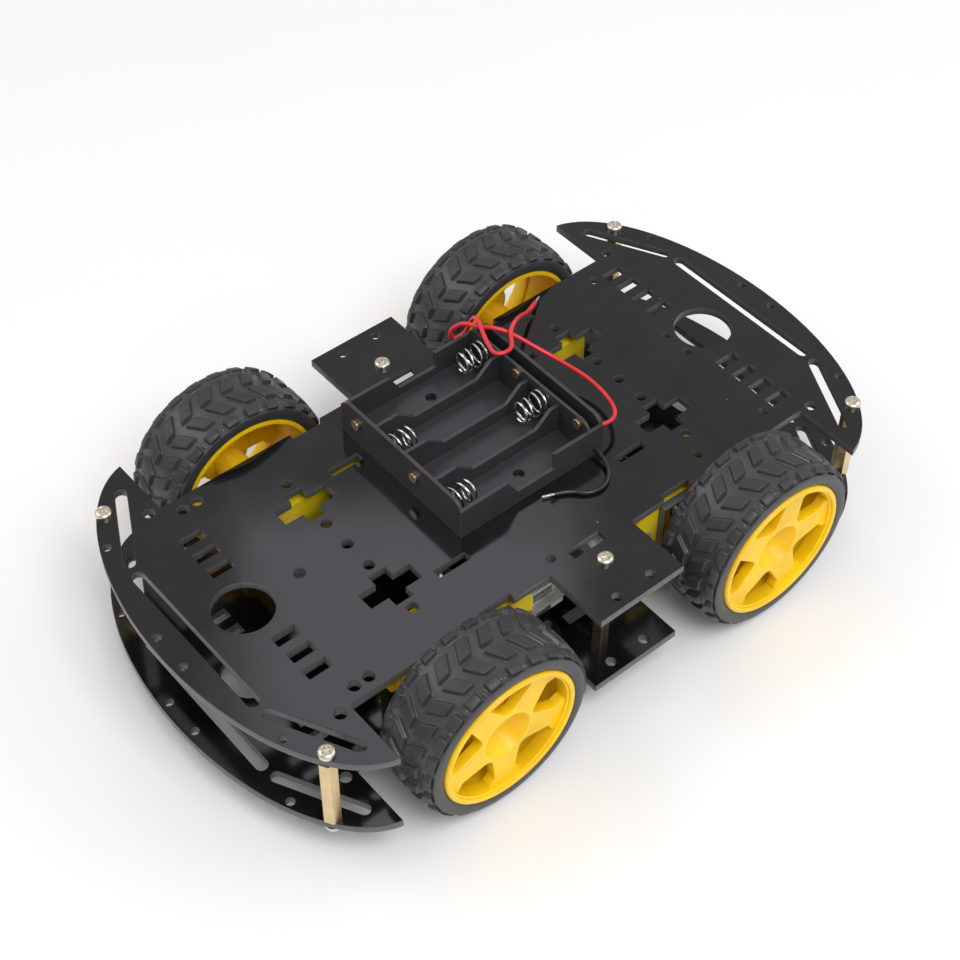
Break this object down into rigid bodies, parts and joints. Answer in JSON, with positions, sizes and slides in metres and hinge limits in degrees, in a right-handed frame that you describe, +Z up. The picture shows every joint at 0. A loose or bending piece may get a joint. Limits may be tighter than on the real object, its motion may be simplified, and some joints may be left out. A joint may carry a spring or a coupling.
{
  "type": "four wheel robot chassis",
  "caption": "Two-deck wheeled robot platform with a geared motor at every corner, treaded wheels, hexagonal standoffs and an open battery tray on top.",
  "frame": {"origin": "on the floor under the centre of the chassis", "axes": "+X forward along the deck's length, +Y left, +Z up"},
  "size_m": [0.256, 0.1608, 0.0695],
  "materials": {
    "deck_acrylic": "glossy cast acrylic",
    "brass": "machined",
    "nickel_screw": "nickel plated",
    "gearbox_yellow": "moulded",
    "rim_yellow": "moulded",
    "tyre_rubber": "matte rubber",
    "white_nylon": "moulded nylon",
    "motor_steel": "ground steel",
    "can_steel": "zinc plated",
    "cap_plastic": "moulded",
    "magnet": "sintered ferrite",
    "copper": "tinned copper",
    "clear_strap": "clear moulded",
    "tray_plastic": "moulded, fine texture",
    "spring_wire": "nickel plated",
    "red_insulation": "soft PVC",
    "black_insulation": "soft PVC",
    "tinned_strand": "tinned strands"
  },
  "bodies": {
    "chassis": {"battery_contacts": "brass", "battery_springs": "spring_wire", "battery_tray": "tray_plastic", "black_lead": "black_insulation", "bottom_deck": "deck_acrylic", "bracket_bolts": "nickel_screw", "bracket_nuts": "nickel_screw", "deck_screws": "nickel_screw", "front_left_gearbox_inner_shell": "gearbox_yellow", "front_left_gearbox_outer_shell": "gearbox_yellow", "front_left_motor_can": "can_steel", "front_right_gearbox_inner_shell": "gearbox_yellow", "front_right_gearbox_outer_shell": "gearbox_yellow", "front_right_motor_can": "can_steel", "gear_arbors": "motor_steel", "gearbox_screws": "nickel_screw", "lead_tips": "tinned_strand", "motor_brackets": "deck_acrylic", "motor_end_caps": "cap_plastic", "motor_magnets": "magnet", "motor_straps": "clear_strap", "motor_terminals": "copper", "rear_left_gearbox_inner_shell": "gearbox_yellow", "rear_left_gearbox_outer_shell": "gearbox_yellow", "rear_left_motor_can": "can_steel", "rear_right_gearbox_inner_shell": "gearbox_yellow", "rear_right_gearbox_outer_shell": "gearbox_yellow", "rear_right_motor_can": "can_steel", "red_lead": "red_insulation", "standoffs": "brass", "top_deck": "deck_acrylic"},
    "front_left_wheel": {"front_left_rim": "rim_yellow", "front_left_tyre": "tyre_rubber", "front_left_output_gear": "white_nylon"},
    "front_left_middle": {"front_left_middle_gear": "white_nylon"},
    "front_left_crown": {"front_left_crown_gear": "white_nylon"},
    "front_left_rotor": {"front_left_pinion": "brass", "front_left_armature": "motor_steel"},
    "front_right_wheel": {"front_right_rim": "rim_yellow", "front_right_tyre": "tyre_rubber", "front_right_output_gear": "white_nylon"},
    "front_right_middle": {"front_right_middle_gear": "white_nylon"},
    "front_right_crown": {"front_right_crown_gear": "white_nylon"},
    "front_right_rotor": {"front_right_pinion": "brass", "front_right_armature": "motor_steel"},
    "rear_left_wheel": {"rear_left_rim": "rim_yellow", "rear_left_tyre": "tyre_rubber", "rear_left_output_gear": "white_nylon"},
    "rear_left_middle": {"rear_left_middle_gear": "white_nylon"},
    "rear_left_crown": {"rear_left_crown_gear": "white_nylon"},
    "rear_left_rotor": {"rear_left_pinion": "brass", "rear_left_armature": "motor_steel"},
    "rear_right_wheel": {"rear_right_rim": "rim_yellow", "rear_right_tyre": "tyre_rubber", "rear_right_output_gear": "white_nylon"},
    "rear_right_middle": {"rear_right_middle_gear": "white_nylon"},
    "rear_right_crown": {"rear_right_crown_gear": "white_nylon"},
    "rear_right_rotor": {"rear_right_pinion": "brass", "rear_right_armature": "motor_steel"}
  },
  "joints": [
    {"name": "front_left_wheel_spin", "type": "hinge", "parent": "chassis", "child": "front_left_wheel", "pos_m": [0.058, 0.0385, 0.0325], "axis": [0, 1, 0], "continuous": true},
    {"name": "front_left_middle_spin", "type": "hinge", "parent": "chassis", "child": "front_left_middle", "pos_m": [0.05061, 0.0385, 0.03557], "axis": [0, 1, 0], "continuous": true},
    {"name": "front_left_crown_spin", "type": "hinge", "parent": "chassis", "child": "front_left_crown", "pos_m": [0.045, 0.0385, 0.0325], "axis": [0, 1, 0], "continuous": true},
    {"name": "front_left_rotor_spin", "type": "hinge", "parent": "chassis", "child": "front_left_rotor", "pos_m": [0.02, 0.0385, 0.0325], "axis": [1, 0, 0], "continuous": true},
    {"name": "front_right_wheel_spin", "type": "hinge", "parent": "chassis", "child": "front_right_wheel", "pos_m": [0.058, -0.0385, 0.0325], "axis": [0, 1, 0], "continuous": true},
    {"name": "front_right_middle_spin", "type": "hinge", "parent": "chassis", "child": "front_right_middle", "pos_m": [0.05061, -0.0385, 0.03557], "axis": [0, 1, 0], "continuous": true},
    {"name": "front_right_crown_spin", "type": "hinge", "parent": "chassis", "child": "front_right_crown", "pos_m": [0.045, -0.0385, 0.0325], "axis": [0, 1, 0], "continuous": true},
    {"name": "front_right_rotor_spin", "type": "hinge", "parent": "chassis", "child": "front_right_rotor", "pos_m": [0.02, -0.0385, 0.0325], "axis": [1, 0, 0], "continuous": true},
    {"name": "rear_left_wheel_spin", "type": "hinge", "parent": "chassis", "child": "rear_left_wheel", "pos_m": [-0.058, 0.0385, 0.0325], "axis": [0, 1, 0], "continuous": true},
    {"name": "rear_left_middle_spin", "type": "hinge", "parent": "chassis", "child": "rear_left_middle", "pos_m": [-0.05061, 0.0385, 0.03557], "axis": [0, 1, 0], "continuous": true},
    {"name": "rear_left_crown_spin", "type": "hinge", "parent": "chassis", "child": "rear_left_crown", "pos_m": [-0.045, 0.0385, 0.0325], "axis": [0, 1, 0], "continuous": true},
    {"name": "rear_left_rotor_spin", "type": "hinge", "parent": "chassis", "child": "rear_left_rotor", "pos_m": [-0.02, 0.0385, 0.0325], "axis": [1, 0, 0], "continuous": true},
    {"name": "rear_right_wheel_spin", "type": "hinge", "parent": "chassis", "child": "rear_right_wheel", "pos_m": [-0.058, -0.0385, 0.0325], "axis": [0, 1, 0], "continuous": true},
    {"name": "rear_right_middle_spin", "type": "hinge", "parent": "chassis", "child": "rear_right_middle", "pos_m": [-0.05061, -0.0385, 0.03557], "axis": [0, 1, 0], "continuous": true},
    {"name": "rear_right_crown_spin", "type": "hinge", "parent": "chassis", "child": "rear_right_crown", "pos_m": [-0.045, -0.0385, 0.0325], "axis": [0, 1, 0], "continuous": true},
    {"name": "rear_right_rotor_spin", "type": "hinge", "parent": "chassis", "child": "rear_right_rotor", "pos_m": [-0.02, -0.0385, 0.0325], "axis": [1, 0, 0], "continuous": true}
  ],
  "couplings": [
    {"joint": "front_left_middle_spin", "follows": "front_left_wheel_spin", "ratio": -4},
    {"joint": "front_left_crown_spin", "follows": "front_left_wheel_spin", "ratio": 12},
    {"joint": "front_left_rotor_spin", "follows": "front_left_wheel_spin", "ratio": 48},
    {"joint": "front_right_middle_spin", "follows": "front_right_wheel_spin", "ratio": -4},
    {"joint": "front_right_crown_spin", "follows": "front_right_wheel_spin", "ratio": 12},
    {"joint": "front_right_rotor_spin", "follows": "front_right_wheel_spin", "ratio": -48},
    {"joint": "rear_left_middle_spin", "follows": "rear_left_wheel_spin", "ratio": -4},
    {"joint": "rear_left_crown_spin", "follows": "rear_left_wheel_spin", "ratio": 12},
    {"joint": "rear_left_rotor_spin", "follows": "rear_left_wheel_spin", "ratio": -48},
    {"joint": "rear_right_middle_spin", "follows": "rear_right_wheel_spin", "ratio": -4},
    {"joint": "rear_right_crown_spin", "follows": "rear_right_wheel_spin", "ratio": 12},
    {"joint": "rear_right_rotor_spin", "follows": "rear_right_wheel_spin", "ratio": 48}
  ]
}
